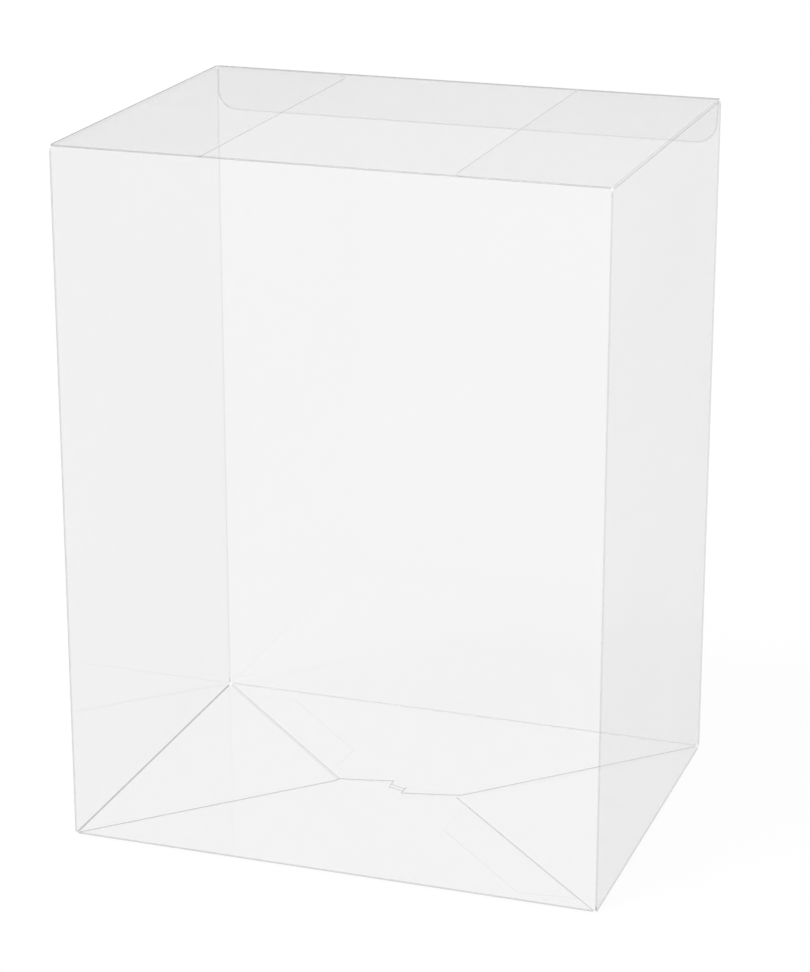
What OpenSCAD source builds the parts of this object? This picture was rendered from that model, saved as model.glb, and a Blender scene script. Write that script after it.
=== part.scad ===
// Clear folding box with a tuck lid, two dust flaps and a bottom that locks itself.
// The whole box is one folded sheet of film, and its lid swings on the crease along the
// front top edge. The origin is the middle of the base: +X right, +Y back, +Z up.

/* [Box] */
// Outside width, left to right
box_w = 254; // [236:1:320]
// Outside depth, front to back
box_d = 194; // [120:1:212]
// Outside height with the lid shut
box_h = 330; // [200:1:420]

/* [Film] */
// Thickness of the film
film_t = 0.5; // [0.3:0.05:0.8]
// Inside radius of every folded edge
fold_in = 0.5; // [0.3:0.05:0.8]
// Length of edge left free beside each fold at a corner
relief = 1; // [0.8:0.1:3]

/* [Lid] */
// Length of the tuck flap, from the lid's top face to its free edge
tuck_len = 21.5; // [12:0.5:35]
// Radius of the tuck flap's free corners
tuck_corner = 10; // [3:0.5:11]
// Distance from the lid's side edges to the outer faces of the side walls
lid_inset = 0.6; // [0.2:0.1:1]
// Running gap between the lid and what lies below, beside or behind it
lid_gap = 0.3; // [0.2:0.05:0.6]

/* [Dust flaps] */
// Length of each dust flap, from the outer face of its side wall
dust_len = 70; // [30:1:90]
// Radius of the large free corner of each dust flap
dust_corner = 6; // [3:0.5:15]
// Radius of the small free corner of each dust flap
dust_nib = 1.5; // [1:0.5:3]

/* [Glue seam] */
// Width of the glue flap, from the outer face of the side wall
glue_w = 15; // [8:1:25]
// Distance of the glue flap's ends from the ends of its fold
glue_end = 3; // [1:0.5:10]
// Slope of the glue flap's two ends, in degrees
glue_slope = 15; // [0:1:40]
// Distance of the back wall's raw edge from the fold at the seam
seam_gap = 0.5; // [0.2:0.1:2]

/* [Locking bottom] */
// Reach of each lock tongue past the middle of the box, at its hook
lock_reach = 6; // [4.5:0.5:9]
// Overlap of the tongue on the opposite flap beside the hook
lock_over = 2; // [1.5:0.5:3]
// Distance at which the half beside a tongue stops before the middle, at the side flap's tip
lock_short = 0.8; // [0.5:0.1:2]
// Length over which a tongue climbs to the top of the opposite flap, before the middle
lock_rise = 2; // [1:0.5:3]
// Distance of each hook from the middle of the seam
hook_x = 4; // [2:0.5:5]
// Length of the slanted lead-in beside each hook
hook_slant = 12; // [8:1:14]
// Slit between the slanted edges of neighbouring bottom flaps
flap_slit = 0.6; // [0.4:0.1:0.7]

/* [Glued tabs] */
// Width of the glued tab beyond its diagonal crease
tab_w = 22; // [10:1:30]
// Distance along the crease from the corner of the box to the tab
tab_start = 15; // [8:1:25]
// Distance along the crease from the tab to the middle of the box
tab_end = 12; // [8:1:20]
// Length along the crease over which each end of the tab slopes
tab_slope = 18; // [5:1:25]
// Depth of the scored groove under the diagonal crease
score_depth = 0.15; // [0.05:0.05:0.2]

/* [Hidden] */
$fn = 64;

// Outside radius of a fold, and half of the outside width and depth
fold_r = fold_in + film_t;
half_w = box_w / 2;
half_d = box_d / 2;

// Levels of the layers of film in the base: side flaps below, main flaps on them
side_level = 0;
main_level = side_level + film_t;
tongue_level = main_level + film_t;

// Tops of the walls: the dust flaps lie just under the lid
dust_top = box_h - film_t - lid_gap;
side_top = dust_top - fold_r;
upright_foot = main_level + fold_r;

// Lid: hinge line, outer face of the tuck flap at its fold, and how far its free edge leans
// inward so that it swings clear of the back wall
hinge_y = fold_r - half_d;
tuck_y = half_d - 2 * film_t - lid_gap;
tuck_run = tuck_len - fold_r;
lid_run = tuck_y - hinge_y;
tuck_lean = pow(tuck_run, 2) / (2 * lid_run);
tuck_half = half_w - film_t - 2 * lid_gap;
lid_half = half_w - lid_inset;

// The dust flaps stop short of the arc that the tuck flap's inner face sweeps
tuck_sweep = pow(tuck_len, 2) / (8 * lid_run);
dust_half = tuck_y - film_t - tuck_sweep - 2 * lid_gap;

// Ends of the roots of the bottom flaps, and the tip of each side flap from the middle
main_root = half_w - fold_r - relief;
side_root = half_d - fold_r - relief;
tip_x = half_w - half_d;

// Diagonal crease of a side flap, from the corner of the box to the flap's tip
crease_angle = 45;
crease_len = (half_d - fold_r) / cos(crease_angle);

film_colour = [0.86, 0.89, 0.91, 0.45];

// Point on a side flap, by distance along its diagonal crease and distance beyond it
function crease_point(along, beyond) = [
    fold_r - half_d + along * cos(crease_angle) - beyond * sin(crease_angle),
    fold_r + along * sin(crease_angle) + beyond * cos(crease_angle)
];

// Places a side of the box that is drawn as the front one, with its outer face on y = 0
module at_side(turn, reach) {
    rotate([0, 0, turn])
        translate([0, -reach, 0])
            children();
}

// Folded edge along X, round the point (y, z), from a start angle in the YZ plane
module fold(length, y, z, start) {
    translate([-length / 2, y, z])
        rotate([90, 0, 90])
            rotate([0, 0, start])
                rotate_extrude(angle = 90)
                    translate([fold_in, 0])
                        square([film_t, length]);
}

// Folded upright edge round the point (x, y), from a start angle in the XY plane
module upright_fold(x, y, start) {
    translate([x, y, upright_foot])
        rotate([0, 0, start])
            rotate_extrude(angle = 90)
                translate([fold_in, 0])
                    square([film_t, side_top - upright_foot]);
}

// Flat wall on y = 0 between two places along X and two heights
module wall(x0, x1, z0, z1) {
    translate([x0, 0, z0])
        cube([x1 - x0, film_t, z1 - z0]);
}

// Outline of a flap with its two free corners rounded
module flap_outline(half, root, tip, left_r, right_r) {
    polygon([
        [-half, root],
        [half, root],
        [half, tip - right_r],
        [half - right_r, tip],
        [left_r - half, tip],
        [-half, tip - left_r]
    ]);
    translate([half - right_r, tip - right_r])
        circle(right_r);
    translate([left_r - half, tip - left_r])
        circle(left_r);
}

// Flat part of a main bottom flap: one half falls away from the middle, under the opposite
// tongue, and the other runs up to where its own tongue starts to climb
module main_flap_outline() {
    polygon([
        [-main_root, fold_r],
        [main_root, fold_r],
        [main_root, half_w - main_root - flap_slit],
        [tip_x + lock_short - flap_slit, half_d - lock_short],
        [hook_slant - hook_x, half_d - lock_reach + lock_over],
        [-hook_x, half_d],
        [-hook_x, half_d - lock_rise],
        [-tip_x - lock_rise, half_d - lock_rise],
        [-main_root, half_w - main_root]
    ]);
}

// Outline of a lock tongue: it widens from the side flap's tip to the hook
module tongue_outline() {
    foot = half_d - 2 * lock_rise;
    polygon([
        [-tip_x - 2 * lock_rise, foot],
        [-tip_x, half_d],
        [-hook_x, half_d + lock_reach],
        [-hook_x, foot]
    ]);
}

// Lock tongue of a main flap, which climbs onto the opposite flap and rests on it
module lock_tongue() {
    start = half_d - lock_rise;
    end = half_d + 2 * lock_reach;
    intersection() {
        translate([-half_w, 0, 0])
            rotate([90, 0, 90])
                linear_extrude(half_w)
                    polygon([
                        [start, main_level],
                        [half_d, tongue_level],
                        [end, tongue_level],
                        [end, tongue_level + film_t],
                        [half_d, tongue_level + film_t],
                        [start, tongue_level]
                    ]);
        linear_extrude(box_h)
            tongue_outline();
    }
}

// Main bottom flap with its folded root
module main_flap() {
    fold(2 * main_root, fold_r, main_level + fold_r, 180);
    translate([0, 0, main_level])
        linear_extrude(film_t)
            main_flap_outline();
    lock_tongue();
}

// Outline of a side bottom flap: a triangle up to its diagonal crease, and the tab beyond
// the crease that is glued under the main flap
module side_flap_outline() {
    polygon([
        [-side_root, fold_r],
        [side_root, fold_r],
        [side_root, half_d - flap_slit - side_root],
        [-flap_slit / 2, half_d - flap_slit / 2],
        crease_point(crease_len - tab_end, 0),
        crease_point(crease_len - tab_end - tab_slope, tab_w),
        crease_point(tab_start + tab_slope, tab_w),
        crease_point(tab_start, 0),
        [-side_root, half_d - side_root]
    ]);
}

// Scored groove under the diagonal crease
module crease_score() {
    side = score_depth * sqrt(2);
    corner = crease_point(0, 0);
    translate([corner[0], corner[1], side_level])
        rotate([0, 0, crease_angle])
            rotate([45, 0, 0])
                translate([0, -side / 2, -side / 2])
                    cube([crease_len, side, side]);
}

// Side bottom flap with its folded root
module side_flap() {
    fold(2 * side_root, fold_r, side_level + fold_r, 180);
    translate([0, 0, side_level])
        difference() {
            linear_extrude(film_t)
                side_flap_outline();
            crease_score();
        }
}

// Dust flap with its folded root, just under the lid
module dust_flap() {
    fold(2 * dust_half, fold_r, dust_top - fold_r, 90);
    translate([0, 0, dust_top - film_t])
        linear_extrude(film_t)
            flap_outline(dust_half, fold_r, dust_len, dust_corner, dust_nib);
}

// Glue flap that carries on from the left wall and lies inside the back wall
module glue_flap() {
    foot = upright_foot + glue_end;
    head = side_top - glue_end;
    fall = (glue_w - fold_r) * tan(glue_slope);
    back = half_d - film_t;
    upright_fold(fold_r - back, fold_r, 180);
    translate([-back, 0, 0])
        rotate([90, 0, 90])
            linear_extrude(film_t)
                polygon([
                    [fold_r, foot],
                    [glue_w, foot + fall],
                    [glue_w, head - fall],
                    [fold_r, head]
                ]);
}

// Front wall, with the fold that leads to the lid
module front_wall() {
    span = half_w - fold_r;
    wall(-span, span, upright_foot, box_h - fold_r);
    fold(2 * span, fold_r, box_h - fold_r, 90);
    upright_fold(span, fold_r, -90);
    main_flap();
}

// Back wall, with a plain cut edge at its top and at the glue seam
module back_wall() {
    span = half_w - fold_r;
    wall(-span, span - seam_gap, upright_foot, box_h - film_t);
    main_flap();
}

// Right wall, between two folded corners
module right_wall() {
    span = half_d - fold_r;
    wall(-span, span, side_level + fold_r, side_top);
    upright_fold(span, fold_r, -90);
    side_flap();
    dust_flap();
}

// Left wall, between a folded corner and the glue seam
module left_wall() {
    span = half_d - fold_r;
    wall(film_t - span, span, side_level + fold_r, side_top);
    upright_fold(span, fold_r, -90);
    side_flap();
    dust_flap();
    glue_flap();
}

// The folded sheet up to the lid's crease
module box_body() {
    color(film_colour) {
        at_side(0, half_d)
            front_wall();
        at_side(90, half_w)
            right_wall();
        at_side(180, half_d)
            back_wall();
        at_side(270, half_w)
            left_wall();
    }
}

// Flat top of the lid, from the crease to the fold of the tuck flap
module lid_top() {
    translate([-lid_half, hinge_y, box_h - film_t])
        cube([2 * lid_half, lid_run - fold_r, film_t]);
}

// Tuck flap below its fold: a leaning sheet with rounded free corners
module tuck_flap() {
    root = box_h - fold_r;
    inner = tuck_y - film_t;
    intersection() {
        translate([-half_w, 0, 0])
            rotate([90, 0, 90])
                linear_extrude(box_w)
                    polygon([
                        [tuck_y, root],
                        [inner, root],
                        [inner - tuck_lean, root - tuck_run],
                        [tuck_y - tuck_lean, root - tuck_run]
                    ]);
        translate([0, 0, root])
            rotate([-90, 0, 0])
                linear_extrude(half_d)
                    flap_outline(tuck_half, -film_t, tuck_run, tuck_corner, tuck_corner);
    }
}

// The lid from its crease to the free edge of its tuck flap
module lid() {
    color(film_colour) {
        lid_top();
        fold(2 * tuck_half, tuck_y - fold_r, box_h - fold_r, 0);
        tuck_flap();
    }
}

box_body();
lid();
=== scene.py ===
"""Looks of the clear folding box: one sheet of glossy film, its creases and its cut edges."""
import math

import bpy
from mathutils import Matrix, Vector


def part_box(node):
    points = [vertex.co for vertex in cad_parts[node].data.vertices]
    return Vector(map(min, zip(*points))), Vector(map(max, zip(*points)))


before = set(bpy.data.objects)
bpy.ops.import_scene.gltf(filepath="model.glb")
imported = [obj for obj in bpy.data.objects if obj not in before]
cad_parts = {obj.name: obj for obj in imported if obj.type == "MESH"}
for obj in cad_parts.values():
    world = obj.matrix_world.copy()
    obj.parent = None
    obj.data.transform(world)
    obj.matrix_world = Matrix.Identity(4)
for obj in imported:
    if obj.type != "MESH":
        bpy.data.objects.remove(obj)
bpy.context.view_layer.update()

# Camera fitted to the photograph: picture height and focal length in pixels, then place and angles
PHOTO_H = 972
FOCAL_PX = 3013.8
CAMERA_AT = Vector((0.4365, -1.2665, 0.6117))
CAMERA_YAW = 18.861
CAMERA_PITCH = -18.796
SENSOR_H = 24.0
CLIP_END = 200.0

# The frame's own sizes, in metres
_, BODY_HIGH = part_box("box_body")
LID_LOW, LID_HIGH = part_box("lid")
HALF_W = BODY_HIGH.x
HALF_D = BODY_HIGH.y
TOP = LID_HIGH.z
HINGE_Y = LID_LOW.y

# Film thickness, outside radius of a fold, running gap and slit, as in the part's source
FILM = 0.0005
FOLD = 0.001
LID_GAP = 0.0003
FLAP_SLIT = 0.0006

# Free edges: length and corner radius of the tuck flap, its half width, and the dust flaps' tips
TUCK_LEN = 0.0215
TUCK_CORNER = 0.01
TUCK_HALF = HALF_W - FILM - 2 * LID_GAP
DUST_LEN = 0.07
DUST_TIP = HALF_W - DUST_LEN

# Lock tongues in the base: hook and tip from the middle, and reach past it
HOOK_X = 0.0042
TIP_X = HALF_W - HALF_D + FLAP_SLIT
TONGUE_REACH = 0.0052

# Heights that part the layers of the base, from its underside up
SIDE_FLAP_TOP = 0.9 * FILM
MAIN_FLAP_LOW = 1.1 * FILM
TONGUE_LOW = 2.05 * FILM
BASE_TOP = 4 * FILM
FOOT_TOP = 3 * FOLD

# Heights that part the layers under the lid
LID_UNDERSIDE = TOP - 1.2 * FILM
EDGE_LOW = TOP - 1.5 * FILM
DUST_LOW = TOP - 3 * FILM
LID_FOLD_LOW = TOP - 2 * FOLD
ROOT_LOW = TOP - 3 * FOLD

# Distances from the middle that part the walls, their folds and what lies inside them
SIDE_WALL_IN = HALF_W - 1.2 * FILM
SIDE_FOLD_IN = HALF_W - 1.1 * FOLD
END_FOLD_IN = HALF_D - 1.1 * FOLD
BACK_OUTER = HALF_D - 1.1 * FILM
BACK_EDGE_IN = HALF_D - 1.4 * FILM
DUST_END = HALF_D - 2.2 * FILM
SEAM_IN = HALF_D - 2.5 * FILM
SEAM_LEFT = 2.5 * FILM - HALF_W
CREASE_SLACK = 0.1 * FILM
UPRIGHT_END = 4 * FOLD

# Part of a normal along an axis: least on a flat wall, least on a face square to the axis, least
# on one that leans to it, and most on one that runs along it
FLAT = 0.96
SQUARE = 0.9
LEANS = 0.4
ALONG = 0.2

# Share of light one face of the film takes head on, how that grows at grazing, and painted shade (darker
# right wall) and painted light (lighter lid top, dust flaps and base) as multiples of it
LOSS = 0.0225
LOSS_POWER = 0.7
LEAST_COS = 0.03
# Painted shade darkens the right wall as a side in shade; painted light makes the dust flaps, base and
# lid top lighter
RIGHT_WALL_PAINTED_SHADE = 1.15
DUST_FLAP_PAINTED_LIGHT = 0.05
# Painted light: the base is lighter, which also offsets the floor's shadow seen through it
BASE_PAINTED_LIGHT = 0.42
LID_PAINTED_LIGHT = 0.96

# Share of a lamp's light that one face lets through, which stands for the whole film in shadows
SHADOW_PASS = 0.93

# Haze cloud in the film, waves in its gloss, and how the gloss grows at grazing
NOISE_MEAN = 0.5
HAZE_SCALE = 9.0
HAZE_SPREAD = 0.16
WAVE_SCALE = 14.0
WAVE_STRENGTH = 0.15
WAVE_DEPTH = 0.002
ROUGHNESS = 0.05
ROUGHNESS_SPREAD = 0.05
GLOSS_AT_NORMAL = 0.04
GLOSS_MOST = 0.10
SCHLICK_POWER = 5.0

# Cut edges: extra light loss and share of matt grey for one face, weights by place, and the least
# weight that counts as an edge
CUT_LOSS = 0.38
CUT_FROST = 0.35
BASE_CUT = 0.7
DUST_CUT = 0.42
LID_CUT = 0.35
LID_LEFT_CUT = 3.4
CROWN_LOSS = 1.1
FAINT_LOSS = 0.016
LEAST_EDGE = 0.01
MATT_GREY = (0.50, 0.51, 0.52, 1.0)

# Burr beside a cut: its width, its extra light loss and weights by place
BURR = 0.0006
BURR_LOSS = 0.09
CROWN_BURR = 0.9
DUST_BURR = 0.15

# Creases: extra light loss, the part of it that grows at grazing, matt share and weights by place
CREASE_LOSS = 0.11
CREASE_RIM_LOSS = 0.38
CREASE_FROST = 0.05
UPRIGHT_CREASE = 0.05
DUST_CREASE = 0.27
GLUED_CREASE = 0.36
BACK_CREASE = 0.55
FRONT_CREASE = 1.75
LEFT_CREASE = 1.6
LID_CREASE = 0.8

# Part of the gloss that creases and cut edges lack
LINE_DULL = 0.85

# Most film faces that a ray may pass straight through
TRANSPARENT_BOUNCES = 48

# Floor: gap below the box, width, grey, the share of it that takes shadow, and its own white
FLOOR_DROP = 0.0003
FLOOR_SIZE = 60.0
FLOOR_ALBEDO = 0.85
FLOOR_MATT = 0.18
FLOOR_WHITE = 1.04

# World strength for the rays that light the object; the ones that see the world get 1
WORLD_LIGHT = 0.5

WHITE = (1.0, 1.0, 1.0, 1.0)


class Nodes:
    """Short way to write a node tree."""

    def __init__(self, tree):
        self.tree = tree
        tree.nodes.clear()

    def add(self, kind, inputs=None, **settings):
        node = self.tree.nodes.new(kind)
        for key, value in settings.items():
            setattr(node, key, value)
        for key, value in (inputs or {}).items():
            self.put(node.inputs[key], value)
        return node

    def put(self, socket, value):
        if isinstance(value, bpy.types.NodeSocket):
            self.tree.links.new(value, socket)
        else:
            socket.default_value = value

    def math(self, operation, *values):
        node = self.add("ShaderNodeMath", operation=operation)
        for socket, value in zip(node.inputs, values):
            self.put(socket, value)
        return node.outputs[0]

    def folded(self, operation, values):
        """One value from several, by the same operation between each two."""
        result = values[0]
        for value in values[1:]:
            result = self.math(operation, result, value)
        return result

    def times(self, *values):
        return self.folded("MULTIPLY", values)

    def both(self, *masks):
        return self.folded("MULTIPLY", masks)

    def either(self, *masks):
        return self.folded("MAXIMUM", masks)

    def apart_from(self, mask):
        return self.math("SUBTRACT", 1.0, mask)

    def above(self, value, limit):
        return self.math("GREATER_THAN", value, limit)

    def below(self, value, limit):
        return self.math("LESS_THAN", value, limit)

    def between(self, value, low, high):
        return self.both(self.above(value, low), self.below(value, high))

    def weighted(self, *pairs):
        """One plus, for each mask, how far its factor is from one."""
        total = 1.0
        for mask, factor in pairs:
            total = self.math("ADD", total, self.times(mask, factor - 1.0))
        return total

    def rounded(self, across, down):
        """Distance out from the middle of a corner's arc, which stays straight beside the corner."""
        a = self.math("MAXIMUM", across, 0.0)
        b = self.math("MAXIMUM", down, 0.0)
        arc = self.math("SQRT", self.math("ADD", self.times(a, a), self.times(b, b)))
        within = self.math("MINIMUM", self.math("MAXIMUM", across, down), 0.0)
        return self.math("ADD", arc, within)

    def mixed(self, share, first, second):
        return self.add("ShaderNodeMixShader", {0: share, 1: first, 2: second}).outputs[0]

    def axes(self, socket):
        """The three parts of a vector, and their absolute values."""
        split = self.add("ShaderNodeSeparateXYZ", {0: socket})
        plain = [split.outputs[i] for i in range(3)]
        return plain, [self.math("ABSOLUTE", part) for part in plain]


def new_material(name):
    """A new material, and its empty node tree."""
    material = bpy.data.materials.new(name)
    material.use_nodes = True
    return material, Nodes(material.node_tree)


def walls_of_body(n, at, normal_abs):
    """Painted shade that darkens the box body's right wall, as a multiple of the film's loss, and where
    its film needs more than that.
    """
    painted_shading = n.weighted((n.above(at[0], SIDE_WALL_IN), RIGHT_WALL_PAINTED_SHADE))
    seam = n.both(n.above(at[1], SEAM_IN), n.below(normal_abs[1], LEANS))
    busy = n.either(n.below(at[2], BASE_TOP), n.above(at[2], ROOT_LOW), seam)
    return painted_shading, busy


def lines_of_body(n, at, at_abs, normal_abs):
    """Cut edges and creases of the box body's base, seam and dust flaps, and painted light that makes
    its base and dust flaps lighter.
    """
    x, y, z = at
    x_abs = at_abs[0]
    y_abs = at_abs[1]
    inside = n.both(n.below(x_abs, HALF_W - FOLD), n.below(y_abs, HALF_D - FOLD))
    steep = n.below(normal_abs[2], LEANS)
    level = n.above(normal_abs[2], SQUARE)
    upper = n.both(n.between(z, MAIN_FLAP_LOW, BASE_TOP), inside, steep)
    under = n.both(n.below(z, TONGUE_LOW), n.between(x_abs, HOOK_X, TIP_X), n.below(y_abs, TONGUE_REACH))
    base = n.both(upper, n.apart_from(under))
    lower = n.both(n.below(z, SIDE_FLAP_TOP), inside)
    tabs = n.both(n.either(lower, under), steep)
    dust = n.both(n.between(z, DUST_LOW, LID_UNDERSIDE), inside, n.above(normal_abs[0], LEANS))
    seam = n.both(n.above(y, SEAM_IN), n.between(x, SEAM_LEFT, 0.0), n.below(normal_abs[1], LEANS))
    crown = n.both(n.above(y, BACK_EDGE_IN), n.above(z, EDGE_LOW), level)
    end = n.both(n.above(normal_abs[1], SQUARE), n.above(z, EDGE_LOW),
                 n.between(y, HINGE_Y - CREASE_SLACK, HINGE_Y + CREASE_SLACK))
    wall_burr = n.both(n.above(y, BACK_OUTER), n.above(z, TOP - FILM - BURR),
                       n.above(normal_abs[1], SQUARE))
    dust_burr = n.both(n.above(z, DUST_LOW), n.between(x_abs, DUST_TIP, DUST_TIP + BURR), level)
    dust_flap = n.both(n.above(z, DUST_LOW), n.below(x_abs, SIDE_WALL_IN), n.below(y_abs, DUST_END))
    base_flap = n.both(n.below(z, BASE_TOP), level)

    upright = n.both(n.below(normal_abs[2], ALONG), n.between(z, UPRIGHT_END, TOP - UPRIGHT_END))
    root = n.both(n.above(z, ROOT_LOW), n.above(x_abs, SIDE_FOLD_IN))
    back = n.above(y, END_FOLD_IN)
    front = n.below(y, -END_FOLD_IN)
    foot = n.below(z, FOOT_TOP)
    left = n.below(x, 0.0)
    bends = (
        (root, DUST_CREASE),
        (n.both(upright, back, left), GLUED_CREASE),
        (n.both(upright, front, left), LEFT_CREASE),
        (n.both(foot, back), BACK_CREASE),
        (n.both(foot, front), FRONT_CREASE),
    )
    return {
        "cut": n.either(n.times(base, BASE_CUT), n.times(dust, DUST_CUT)),
        "crown": crown,
        "faint": n.either(tabs, seam),
        "end": end,
        # Painted light: the dust flaps and the base take less of the film's loss
        "tint_with_painted_shading": n.weighted((dust_flap, DUST_FLAP_PAINTED_LIGHT), (base_flap, BASE_PAINTED_LIGHT)),
        "fold": n.either(n.weighted(*bends, (upright, UPRIGHT_CREASE)), UPRIGHT_CREASE),
        "rim": n.weighted(*bends),
        "burr": n.either(n.times(wall_burr, CROWN_BURR), n.times(dust_burr, DUST_BURR)),
    }


def walls_of_lid(n, at, normal_abs):
    """Painted light on the lid's top, as a multiple of the film's loss, and where the lid's film needs
    more than that.
    """
    # Painted light: the lid's top takes a little less of the film's loss
    painted_shading = n.weighted((n.above(at[2], LID_UNDERSIDE), LID_PAINTED_LIGHT))
    busy = n.either(n.above(normal_abs[0], LEANS), n.below(at[2], LID_FOLD_LOW),
                    n.below(at[1], HINGE_Y + CREASE_SLACK))
    return painted_shading, busy


def lines_of_lid(n, at, at_abs, normal_abs):
    """Cut edges of the lid and its tuck flap, and the end face at its crease."""
    across = n.math("SUBTRACT", at_abs[0], TUCK_HALF - TUCK_CORNER)
    down = n.math("SUBTRACT", TOP - TUCK_LEN + TUCK_CORNER, at[2])
    reach = n.rounded(across, down)
    sides = n.both(n.above(normal_abs[0], LEANS), n.below(normal_abs[1], ALONG))
    sides = n.both(sides, n.weighted((n.below(at[0], 0.0), LID_LEFT_CUT)))
    return {
        "fold": LID_CREASE,
        "rim": LID_CREASE,
        "cut": n.times(sides, LID_CUT),
        "end": n.both(n.above(normal_abs[1], SQUARE), n.below(at[1], HINGE_Y + CREASE_SLACK)),
        "burr": n.both(n.above(reach, TUCK_CORNER - BURR), n.below(at[2], LID_FOLD_LOW),
                       n.above(normal_abs[1], SQUARE)),
    }


def clear_part(n, loss, least=0.0):
    """What light passes straight through, after the loss of one face."""
    passed = n.math("EXPONENT", n.times(loss, -1.0))
    passed = n.math("MAXIMUM", passed, least)
    tint_with_painted_shading = n.add("ShaderNodeCombineColor", {0: passed, 1: passed, 2: passed})
    return n.add("ShaderNodeBsdfTransparent", {"Color": tint_with_painted_shading.outputs[0]}).outputs[0]


def film_gloss(n, place, cloud):
    """Mirror part of the film, with its waves and its haze."""
    waves = n.add("ShaderNodeTexNoise", {"Vector": place, "Scale": WAVE_SCALE, "Detail": 0.0})
    bump = n.add("ShaderNodeBump", {"Height": waves.outputs["Fac"], "Strength": WAVE_STRENGTH,
                                    "Distance": WAVE_DEPTH})
    rough = n.math("ADD", ROUGHNESS, n.times(cloud, ROUGHNESS_SPREAD))
    return n.add("ShaderNodeBsdfGlossy", {"Color": WHITE, "Roughness": rough,
                                          "Normal": bump.outputs[0]}).outputs[0]


def film_material(name, walls, lines):
    """Clear glossy film: light loss by path, grazing gloss, hazy creases and frosted cut edges."""
    material, n = new_material(name)
    coords = n.add("ShaderNodeTexCoord")
    place = coords.outputs["Object"]
    at, at_abs = n.axes(place)
    _, normal_abs = n.axes(coords.outputs["Normal"])
    painted_shading, busy = walls(n, at, normal_abs)
    haze = n.add("ShaderNodeTexNoise", {"Vector": place, "Scale": HAZE_SCALE, "Detail": 0.0})
    cloud = n.math("SUBTRACT", haze.outputs["Fac"], NOISE_MEAN)

    facing = n.add("ShaderNodeLayerWeight", {"Blend": 0.5}).outputs["Facing"]
    cosine = n.math("MAXIMUM", n.apart_from(facing), LEAST_COS)
    # The film's loss times painted shade on the right wall and painted light on the lid's top
    density = n.times(painted_shading, n.math("ADD", LOSS, n.times(cloud, LOSS * HAZE_SPREAD)))
    loss = n.math("DIVIDE", density, n.math("POWER", cosine, LOSS_POWER))
    gloss = film_gloss(n, place, cloud)
    schlick = n.times(n.math("POWER", facing, SCHLICK_POWER), 1.0 - GLOSS_AT_NORMAL)
    share = n.math("MINIMUM", n.math("ADD", schlick, GLOSS_AT_NORMAL), GLOSS_MOST)
    plain = n.mixed(share, clear_part(n, loss), gloss)

    # An edge is a cut face, and a crease is any other curved or sloping one
    flat = n.either(*[n.above(part, FLAT) for part in normal_abs])
    found = {"crown": 0.0, "faint": 0.0, "tint_with_painted_shading": 1.0, "fold": 1.0, "rim": 1.0}
    found.update(lines(n, at, at_abs, normal_abs))
    edge = n.above(n.either(found["cut"], found["crown"], found["faint"]), LEAST_EDGE)
    crease = n.both(n.apart_from(flat), n.apart_from(edge))
    bend = n.times(found["rim"], facing, CREASE_RIM_LOSS)
    bend = n.math("ADD", bend, n.times(found["fold"], CREASE_LOSS))
    amounts = (
        (found["cut"], CUT_LOSS),
        (found["faint"], FAINT_LOSS),
        (found["crown"], CROWN_LOSS),
        (found["burr"], BURR_LOSS),
        (crease, bend),
    )
    # Painted light on the dust flaps and base carried into the loss of the lined faces
    lined = n.times(loss, found["tint_with_painted_shading"])
    for mask, amount in amounts:
        lined = n.math("ADD", lined, n.times(mask, amount))

    dull = n.times(n.either(crease, edge), LINE_DULL)
    lined_share = n.both(share, n.apart_from(found["end"]), n.apart_from(dull))
    film = n.mixed(lined_share, clear_part(n, lined, found["end"]), gloss)
    frost = n.math("ADD", n.times(found["cut"], CUT_FROST), n.times(crease, CREASE_FROST))
    matt = n.add("ShaderNodeBsdfDiffuse", {"Color": MATT_GREY}).outputs[0]
    detailed = n.mixed(frost, film, matt)

    # The share here is exactly 0 or 1, so that plain walls cost no more than their own branch
    surface = n.mixed(n.either(busy, n.apart_from(flat)), plain, detailed)
    shade = n.add("ShaderNodeBsdfTransparent", {"Color": (SHADOW_PASS, SHADOW_PASS, SHADOW_PASS, 1.0)})
    path = n.add("ShaderNodeLightPath")
    surface = n.mixed(path.outputs["Is Shadow Ray"], surface, shade.outputs[0])
    n.add("ShaderNodeOutputMaterial", {"Surface": surface})
    return material


def seen_ray(n):
    """1 for the rays that see the surroundings, 0 for those that only light the object."""
    path = n.add("ShaderNodeLightPath")
    kinds = ("Is Camera Ray", "Is Glossy Ray", "Is Transmission Ray")
    return n.either(*[path.outputs[kind] for kind in kinds])


def make_floor():
    """White paper that keeps a faint shadow of the box."""
    bpy.ops.mesh.primitive_plane_add(size=FLOOR_SIZE, location=(0.0, 0.0, -FLOOR_DROP))
    floor = bpy.context.object
    floor.name = "floor"
    material, n = new_material("floor_white")
    paper = n.add("ShaderNodeBsdfDiffuse", {"Color": (FLOOR_ALBEDO, FLOOR_ALBEDO, FLOOR_ALBEDO, 1.0)})
    white = n.add("ShaderNodeEmission", {"Strength": FLOOR_WHITE})
    share = n.times(seen_ray(n), 1.0 - FLOOR_MATT)
    n.add("ShaderNodeOutputMaterial", {"Surface": n.mixed(share, paper.outputs[0], white.outputs[0])})
    floor.data.materials.append(material)


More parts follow.
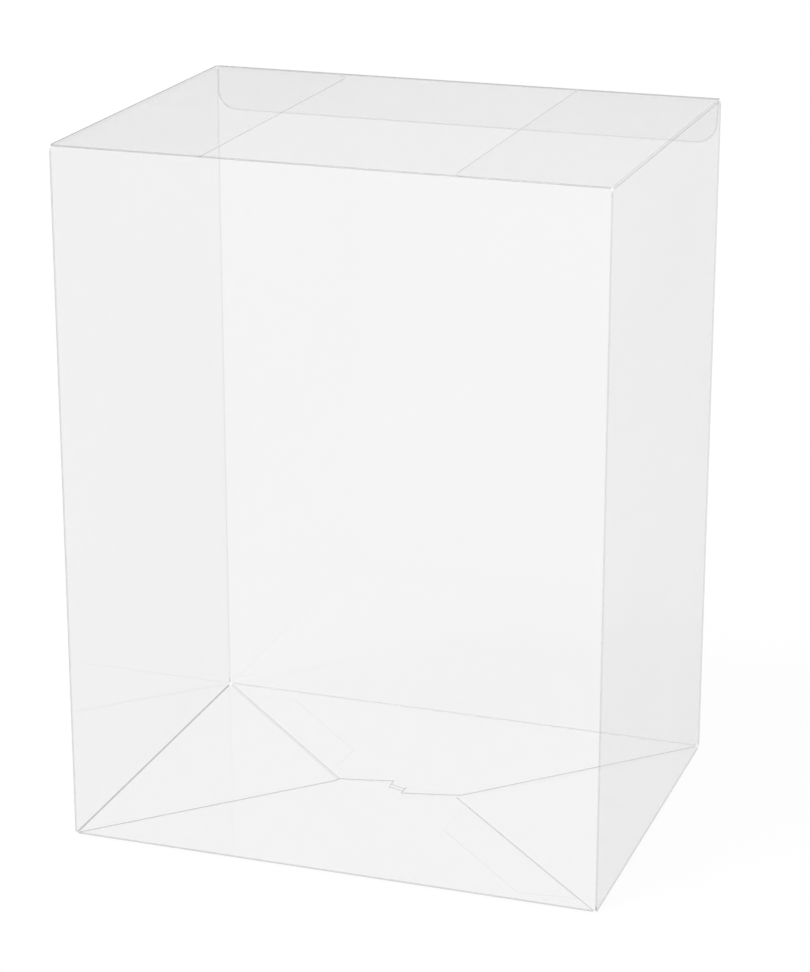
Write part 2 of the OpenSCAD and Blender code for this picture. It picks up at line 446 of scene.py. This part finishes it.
def make_world():
    """White surroundings, dimmer for the light that falls on the box."""
    world = bpy.data.worlds.new("studio")
    bpy.context.scene.world = world
    world.use_nodes = True
    n = Nodes(world.node_tree)
    strength = n.math("ADD", n.times(seen_ray(n), 1.0 - WORLD_LIGHT), WORLD_LIGHT)
    sky = n.add("ShaderNodeBackground", {"Color": WHITE, "Strength": strength})
    n.add("ShaderNodeOutputWorld", {"Surface": sky.outputs[0]})


def make_lamp(name, azimuth, elevation, level, softness):
    """Sun lamp whose light on a surface that faces it is level times that of plain white."""
    lamp = bpy.data.lights.new(name, "SUN")
    lamp.energy = math.pi * level
    lamp.angle = math.radians(softness)
    obj = bpy.data.objects.new(name, lamp)
    turn = math.radians(azimuth)
    rise = math.radians(elevation)
    towards = Vector((math.sin(turn) * math.cos(rise), -math.cos(turn) * math.cos(rise), math.sin(rise)))
    obj.rotation_euler = towards.to_track_quat("Z", "Y").to_euler()
    bpy.context.scene.collection.objects.link(obj)


def make_camera():
    """Camera of the fit, with the photograph's frame."""
    camera = bpy.data.cameras.new("camera")
    camera.sensor_fit = "VERTICAL"
    camera.sensor_height = SENSOR_H
    camera.lens = SENSOR_H * FOCAL_PX / PHOTO_H
    camera.clip_end = CLIP_END
    obj = bpy.data.objects.new("camera", camera)
    obj.location = CAMERA_AT
    obj.rotation_euler = (math.radians(90.0 + CAMERA_PITCH), 0.0, math.radians(CAMERA_YAW))
    bpy.context.scene.collection.objects.link(obj)
    bpy.context.scene.camera = obj


def dress(node, material):
    """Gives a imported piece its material, and leaves its mesh alone."""
    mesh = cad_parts[node].data
    mesh.materials.clear()
    mesh.materials.append(material)


make_camera()
make_world()
make_floor()
make_lamp("key", azimuth=-35.0, elevation=62.0, level=0.55, softness=18.0)
dress("box_body", film_material("clear_film_body", walls_of_body, lines_of_body))
dress("lid", film_material("clear_film_lid", walls_of_lid, lines_of_lid))

scene = bpy.context.scene
scene.view_settings.view_transform = "Standard"
scene.cycles.transparent_max_bounces = TRANSPARENT_BOUNCES
